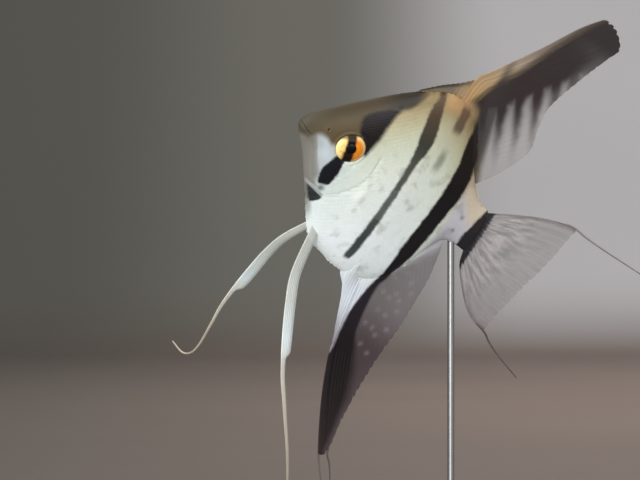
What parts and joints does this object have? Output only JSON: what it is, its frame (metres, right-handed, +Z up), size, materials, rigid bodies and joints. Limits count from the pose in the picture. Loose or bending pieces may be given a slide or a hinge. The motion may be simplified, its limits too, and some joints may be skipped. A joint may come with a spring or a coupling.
{
  "type": "freshwater angelfish",
  "caption": "Life-size still model of a silver banded freshwater angelfish, nose up and turned to one side, held over a flat round base by a thin rod.",
  "frame": {"origin": "middle of the underside of the round base, which lies on the floor", "axes": "+Z up; the fish's left flank faces -Y, its snout points to -X, towards -Y and up"},
  "size_m": [0.1487, 0.0762, 0.1647],
  "materials": {
    "head_skin": "olive-brown brow over silvery cheeks, satin wet look",
    "jaw_skin": "brown lips and jaw, satin",
    "gill_cover_skin": "silvery white, glossy",
    "eye_iris": "golden iris, black pupil, clear polished dome",
    "trunk_skin": "silvery white scales with black bars, satin",
    "tail_stalk_skin": "cream white with grey specks, satin",
    "dorsal_fin_skin": "tan front ray, brown-black sail fading to clear membrane",
    "anal_fin_skin": "white root, purple-black band, clear grey membrane behind",
    "tail_fin_skin": "clear grey membrane with pale rays and faint bands",
    "pectoral_fin_skin": "almost clear membrane on fine rays",
    "pelvic_fin_skin": "milky white, satin",
    "stand_base_black": "black, satin",
    "stand_steel": "brushed"
  },
  "bodies": {
    "root": {"head": "head_skin", "upper_jaw": "jaw_skin", "lower_jaw": "jaw_skin", "gill_cover_left": "gill_cover_skin", "gill_cover_right": "gill_cover_skin", "eye_left": "eye_iris", "eye_right": "eye_iris", "trunk_front": "trunk_skin", "trunk_rear": "trunk_skin", "tail_stalk": "tail_stalk_skin", "dorsal_fin_spines": "dorsal_fin_skin", "dorsal_fin_sail": "dorsal_fin_skin", "anal_fin_spines": "anal_fin_skin", "anal_fin_sail": "anal_fin_skin", "anal_filament_front": "anal_fin_skin", "anal_filament_rear": "anal_fin_skin", "tail_fin": "tail_fin_skin", "tail_filament_upper": "tail_fin_skin", "tail_filament_lower": "tail_fin_skin", "pectoral_fin_left": "pectoral_fin_skin", "pectoral_fin_right": "pectoral_fin_skin", "pelvic_fin_left_blade": "pelvic_fin_skin", "pelvic_fin_left_thread": "pelvic_fin_skin", "pelvic_fin_left_tip": "pelvic_fin_skin", "pelvic_fin_right_blade": "pelvic_fin_skin", "pelvic_fin_right_thread": "pelvic_fin_skin", "pelvic_fin_right_tip": "pelvic_fin_skin", "stand_base": "stand_base_black", "stand_collar": "stand_steel", "stand_rod": "stand_steel"}
  },
  "joints": []
}
